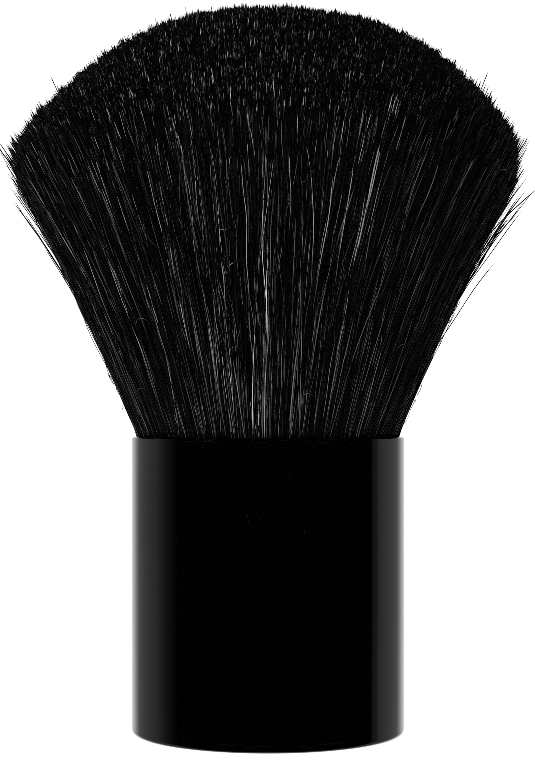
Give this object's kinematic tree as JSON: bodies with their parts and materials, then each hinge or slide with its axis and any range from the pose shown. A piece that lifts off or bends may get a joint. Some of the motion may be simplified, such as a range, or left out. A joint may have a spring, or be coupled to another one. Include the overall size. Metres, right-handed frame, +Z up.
{
  "type": "kabuki makeup brush",
  "caption": "Kabuki makeup brush: a short glossy black cylindrical handle with a wide flared and domed head of loose black hair. It stands on its handle.",
  "frame": {"origin": "on the surface that the brush stands on, under the handle's axis", "axes": "+Z up along the handle's axis, from the base to the dome of the hair; +X and +Y are alike, because the brush is round"},
  "size_m": [0.056, 0.056, 0.0782],
  "materials": {
    "handle_lacquer": "gloss",
    "pad_foam": "matte",
    "weight_steel": "satin",
    "core_plastic": "satin",
    "ferrule_aluminium": "satin",
    "resin": "gloss",
    "thread": "matte",
    "hair": "satin"
  },
  "bodies": {
    "root": {"handle_shell": "handle_lacquer", "weight_pad": "pad_foam", "base_weight": "weight_steel", "core_plug": "core_plastic", "ferrule": "ferrule_aluminium", "root_resin": "resin", "root_binding": "thread", "hair_bundle": "hair"}
  },
  "joints": []
}
